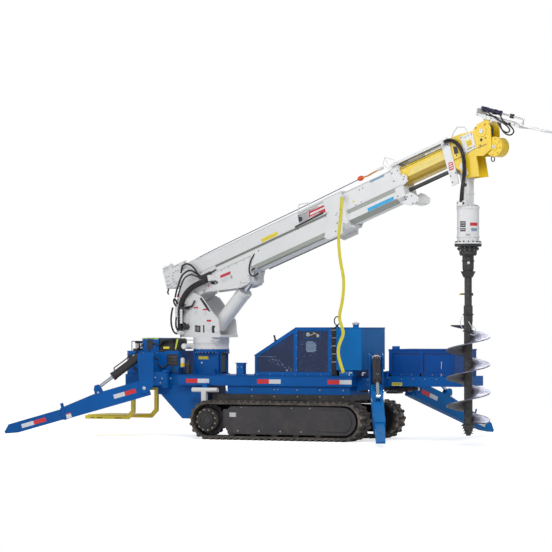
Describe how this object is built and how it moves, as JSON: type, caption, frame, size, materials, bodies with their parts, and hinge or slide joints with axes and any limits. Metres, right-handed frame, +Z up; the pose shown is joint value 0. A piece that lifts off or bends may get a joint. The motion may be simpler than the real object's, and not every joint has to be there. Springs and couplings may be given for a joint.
{
  "type": "tracked mini digger derrick",
  "caption": "Compact digger derrick on rubber tracks with a slewing telescopic boom, hanging earth auger, pole guide, winch, cargo box and swing-out outrigger legs.",
  "frame": {"origin": "The point on the ground under the slew axis.", "axes": "+Z is up, +X runs from the operator's step to the cargo box, +Y is away from the near side."},
  "size_m": [6.8438, 3.9351, 3.6688],
  "materials": {
    "auger_steel": "black paint, flights rubbed bright",
    "black_paint": "satin paint",
    "blue_paint": "gloss paint, lightly dusty",
    "chrome_rod": "polished",
    "dark_steel": "rough, oiled",
    "hose_rubber": "matt",
    "track_rubber": "matt, dusty",
    "webbing": "woven webbing",
    "white_paint": "gloss paint, lightly dusty",
    "yellow_paint": "gloss paint"
  },
  "bodies": {
    "chassis": {"main_frame": "blue_paint", "undercarriage": "black_paint", "track_near": "track_rubber", "track_far": "track_rubber", "track_frame_near": "dark_steel", "track_frame_far": "dark_steel", "drive_hub_near": "black_paint", "drive_hub_far": "black_paint", "skid_plate": "blue_paint", "pedestal": "blue_paint", "slew_ring": "white_paint", "engine_housing": "blue_paint", "engine_block": "dark_steel", "hose_column": "black_paint", "fuel_tank": "blue_paint", "cargo_box": "blue_paint", "control_cabinet": "blue_paint", "control_console": "black_paint", "control_levers": "black_paint", "operator_step": "yellow_paint", "tool_tube": "white_paint"},
    "turret": {"turret": "white_paint", "turret_hoses": "hose_rubber"},
    "lift_barrel": {"lift_ram_barrel": "white_paint"},
    "lift_rod": {"lift_ram_rod": "chrome_rod"},
    "boom_base": {"boom_base": "white_paint", "winch_frame": "white_paint"},
    "boom_mid": {"boom_mid": "white_paint"},
    "boom_tip": {"boom_tip": "yellow_paint", "tip_bracket": "white_paint", "boom_head": "yellow_paint", "head_box": "white_paint", "hook_guard": "yellow_paint", "digger_hose": "hose_rubber"},
    "winch_drum": {"winch_drum": "dark_steel"},
    "boom_sheave": {"boom_sheave": "dark_steel"},
    "digger": {"digger_motor": "white_paint"},
    "auger": {"auger": "auger_steel"},
    "pole_guide": {"pole_guide": "white_paint"},
    "tong_near": {"pole_tong_near": "white_paint"},
    "tong_far": {"pole_tong_far": "white_paint"},
    "strap": {"boom_strap": "webbing"},
    "outrigger_knuckle_rear_near": {"outrigger_knuckle_rear_near": "blue_paint"},
    "outrigger_leg_rear_near": {"outrigger_leg_rear_near": "blue_paint"},
    "outrigger_barrel_rear_near": {"outrigger_barrel_rear_near": "black_paint"},
    "outrigger_rod_rear_near": {"outrigger_rod_rear_near": "chrome_rod"},
    "outrigger_knuckle_rear_far": {"outrigger_knuckle_rear_far": "blue_paint"},
    "outrigger_leg_rear_far": {"outrigger_leg_rear_far": "blue_paint"},
    "outrigger_barrel_rear_far": {"outrigger_barrel_rear_far": "black_paint"},
    "outrigger_rod_rear_far": {"outrigger_rod_rear_far": "chrome_rod"},
    "outrigger_knuckle_front_near": {"outrigger_knuckle_front_near": "blue_paint"},
    "outrigger_leg_front_near": {"outrigger_leg_front_near": "blue_paint"},
    "outrigger_barrel_front_near": {"outrigger_barrel_front_near": "black_paint"},
    "outrigger_rod_front_near": {"outrigger_rod_front_near": "chrome_rod"},
    "outrigger_knuckle_front_far": {"outrigger_knuckle_front_far": "blue_paint"},
    "outrigger_leg_front_far": {"outrigger_leg_front_far": "blue_paint"},
    "outrigger_barrel_front_far": {"outrigger_barrel_front_far": "black_paint"},
    "outrigger_rod_front_far": {"outrigger_rod_front_far": "chrome_rod"}
  },
  "joints": [
    {"name": "slew", "type": "hinge", "parent": "chassis", "child": "turret", "pos_m": [0, 0, 1.1], "axis": [0, 0, 1], "continuous": true},
    {"name": "boom_lift", "type": "hinge", "parent": "turret", "child": "boom_base", "pos_m": [-0.27396, 0.07856, 1.626], "axis": [-0.2756, -0.9613, 0], "range_deg": [-8, 47.5], "deforming": ["turret_hoses"]},
    {"name": "lift_barrel_tilt", "type": "hinge", "parent": "turret", "child": "lift_barrel", "pos_m": [0.09613, -0.02756, 1.28], "axis": [-0.2756, -0.9613, 0], "range_deg": [-7.48, 41.96]},
    {"name": "lift_rod_slide", "type": "slide", "parent": "lift_barrel", "child": "lift_rod", "axis": [0.6831, -0.1959, 0.7036], "range_m": [-0.0784, 0.4163]},
    {"name": "boom_mid_slide", "type": "slide", "parent": "boom_base", "child": "boom_mid", "axis": [0.9132, -0.2618, 0.3123], "range_m": [-0.65, 1.1]},
    {"name": "boom_tip_slide", "type": "slide", "parent": "boom_mid", "child": "boom_tip", "axis": [0.9132, -0.2618, 0.3123], "range_m": [-0.35, 1]},
    {"name": "winch_drum_spin", "type": "hinge", "parent": "boom_base", "child": "winch_drum", "pos_m": [-0.41582, 0.11923, 1.88275], "axis": [0.2756, 0.9613, 0], "continuous": true},
    {"name": "boom_sheave_spin", "type": "hinge", "parent": "boom_tip", "child": "boom_sheave", "pos_m": [3.84798, -1.10339, 3.39164], "axis": [0.2756, 0.9613, 0], "continuous": true},
    {"name": "digger_hang", "type": "hinge", "parent": "boom_tip", "child": "digger", "pos_m": [3.61095, -1.03542, 3.02424], "axis": [-0.2756, -0.9613, 0], "range_deg": [-48, 8.5], "deforming": ["digger_hose"]},
    {"name": "auger_spin", "type": "hinge", "parent": "digger", "child": "auger", "pos_m": [3.61095, -1.03542, 1], "axis": [0, 0, 1], "continuous": true},
    {"name": "pole_guide_tilt", "type": "hinge", "parent": "boom_tip", "child": "pole_guide", "pos_m": [3.8975, -1.11759, 3.53911], "axis": [0.2756, 0.9613, 0], "range_deg": [-36, 30]},
    {"name": "tong_near_open", "type": "hinge", "parent": "pole_guide", "child": "tong_near", "pos_m": [4.2759, -1.26771, 3.42828], "axis": [-0.2537, 0.0727, -0.9646], "range_deg": [0, 35]},
    {"name": "tong_far_open", "type": "hinge", "parent": "pole_guide", "child": "tong_far", "pos_m": [4.29795, -1.1908, 3.42828], "axis": [-0.2537, 0.0727, -0.9646], "range_deg": [-35.5, 0.5]},
    {"name": "strap_swing", "type": "hinge", "parent": "boom_base", "child": "strap", "pos_m": [1.98925, -0.72229, 2.75492], "axis": [-0.2756, -0.9613, 0], "range_deg": [-48, 8.5], "deforming": ["boom_strap"]},
    {"name": "swing_rear_near", "type": "hinge", "parent": "chassis", "child": "outrigger_knuckle_rear_near", "pos_m": [-0.431, -0.33, 0.576], "axis": [0, 0, 1], "range_deg": [-15, 65]},
    {"name": "leg_lift_rear_near", "type": "hinge", "parent": "outrigger_knuckle_rear_near", "child": "outrigger_leg_rear_near", "pos_m": [-0.65758, -0.43565, 0.576], "axis": [-0.4226, 0.9063, 0], "range_deg": [-5, 24]},
    {"name": "ram_tilt_rear_near", "type": "hinge", "parent": "outrigger_knuckle_rear_near", "child": "outrigger_barrel_rear_near", "pos_m": [-0.69383, -0.45256, 0.96], "axis": [-0.4226, 0.9063, 0], "range_deg": [-4.14, 17.96]},
    {"name": "ram_slide_rear_near", "type": "slide", "parent": "outrigger_barrel_rear_near", "child": "outrigger_rod_rear_near", "axis": [-0.7219, -0.3366, -0.6047], "range_m": [-0.1564, 0.0405]},
    {"name": "swing_rear_far", "type": "hinge", "parent": "chassis", "child": "outrigger_knuckle_rear_far", "pos_m": [-0.431, 0.33, 0.576], "axis": [0, 0, -1], "range_deg": [-80, 0]},
    {"name": "leg_lift_rear_far", "type": "hinge", "parent": "outrigger_knuckle_rear_far", "child": "outrigger_leg_rear_far", "pos_m": [-0.431, 0.58, 0.576], "axis": [1, 0, 0], "range_deg": [-5, 24]},
    {"name": "ram_tilt_rear_far", "type": "hinge", "parent": "outrigger_knuckle_rear_far", "child": "outrigger_barrel_rear_far", "pos_m": [-0.431, 0.62, 0.96], "axis": [1, 0, 0], "range_deg": [-4.14, 17.96]},
    {"name": "ram_slide_rear_far", "type": "slide", "parent": "outrigger_barrel_rear_far", "child": "outrigger_rod_rear_far", "axis": [0, 0.7965, -0.6047], "range_m": [-0.1564, 0.0405]},
    {"name": "swing_front_near", "type": "hinge", "parent": "chassis", "child": "outrigger_knuckle_front_near", "pos_m": [2.227, -0.33, 0.576], "axis": [0, 0, 1], "range_deg": [-15, 20]},
    {"name": "leg_lift_front_near", "type": "hinge", "parent": "outrigger_knuckle_front_near", "child": "outrigger_leg_front_near", "pos_m": [2.33265, -0.55658, 0.576], "axis": [-0.9063, -0.4226, 0], "range_deg": [-5, 24]},
    {"name": "ram_tilt_front_near", "type": "hinge", "parent": "outrigger_knuckle_front_near", "child": "outrigger_barrel_front_near", "pos_m": [2.34956, -0.59283, 0.96], "axis": [-0.9063, -0.4226, 0], "range_deg": [-4.04, 17.49]},
    {"name": "ram_slide_front_near", "type": "slide", "parent": "outrigger_barrel_front_near", "child": "outrigger_rod_front_near", "axis": [0.3228, -0.6922, -0.6455], "range_m": [-0.1524, 0.0397]},
    {"name": "swing_front_far", "type": "hinge", "parent": "chassis", "child": "outrigger_knuckle_front_far", "pos_m": [2.227, 0.33, 0.576], "axis": [0, 0, -1], "range_deg": [-15, 20]},
    {"name": "leg_lift_front_far", "type": "hinge", "parent": "outrigger_knuckle_front_far", "child": "outrigger_leg_front_far", "pos_m": [2.33265, 0.55658, 0.576], "axis": [0.9063, -0.4226, 0], "range_deg": [-5, 24]},
    {"name": "ram_tilt_front_far", "type": "hinge", "parent": "outrigger_knuckle_front_far", "child": "outrigger_barrel_front_far", "pos_m": [2.34956, 0.59283, 0.96], "axis": [0.9063, -0.4226, 0], "range_deg": [-4.04, 17.49]},
    {"name": "ram_slide_front_far", "type": "slide", "parent": "outrigger_barrel_front_far", "child": "outrigger_rod_front_far", "axis": [0.3228, 0.6922, -0.6455], "range_m": [-0.1524, 0.0397]}
  ],
  "couplings": [
    {"joint": "lift_barrel_tilt", "follows": "boom_lift", "ratio": 0.87292},
    {"joint": "lift_rod_slide", "follows": "boom_lift", "m_per_rad": 0.49005},
    {"joint": "digger_hang", "follows": "boom_lift", "ratio": -1},
    {"joint": "tong_far_open", "follows": "tong_near_open", "ratio": -1},
    {"joint": "strap_swing", "follows": "boom_lift", "ratio": -1},
    {"joint": "ram_tilt_rear_near", "follows": "leg_lift_rear_near", "ratio": 0.72754},
    {"joint": "ram_slide_rear_near", "follows": "leg_lift_rear_near", "m_per_rad": -0.34941},
    {"joint": "ram_tilt_rear_far", "follows": "leg_lift_rear_far", "ratio": 0.72754},
    {"joint": "ram_slide_rear_far", "follows": "leg_lift_rear_far", "m_per_rad": -0.34941},
    {"joint": "ram_tilt_front_near", "follows": "leg_lift_front_near", "ratio": 0.70805},
    {"joint": "ram_slide_front_near", "follows": "leg_lift_front_near", "m_per_rad": -0.34004},
    {"joint": "ram_tilt_front_far", "follows": "leg_lift_front_far", "ratio": 0.70805},
    {"joint": "ram_slide_front_far", "follows": "leg_lift_front_far", "m_per_rad": -0.34004}
  ]
}
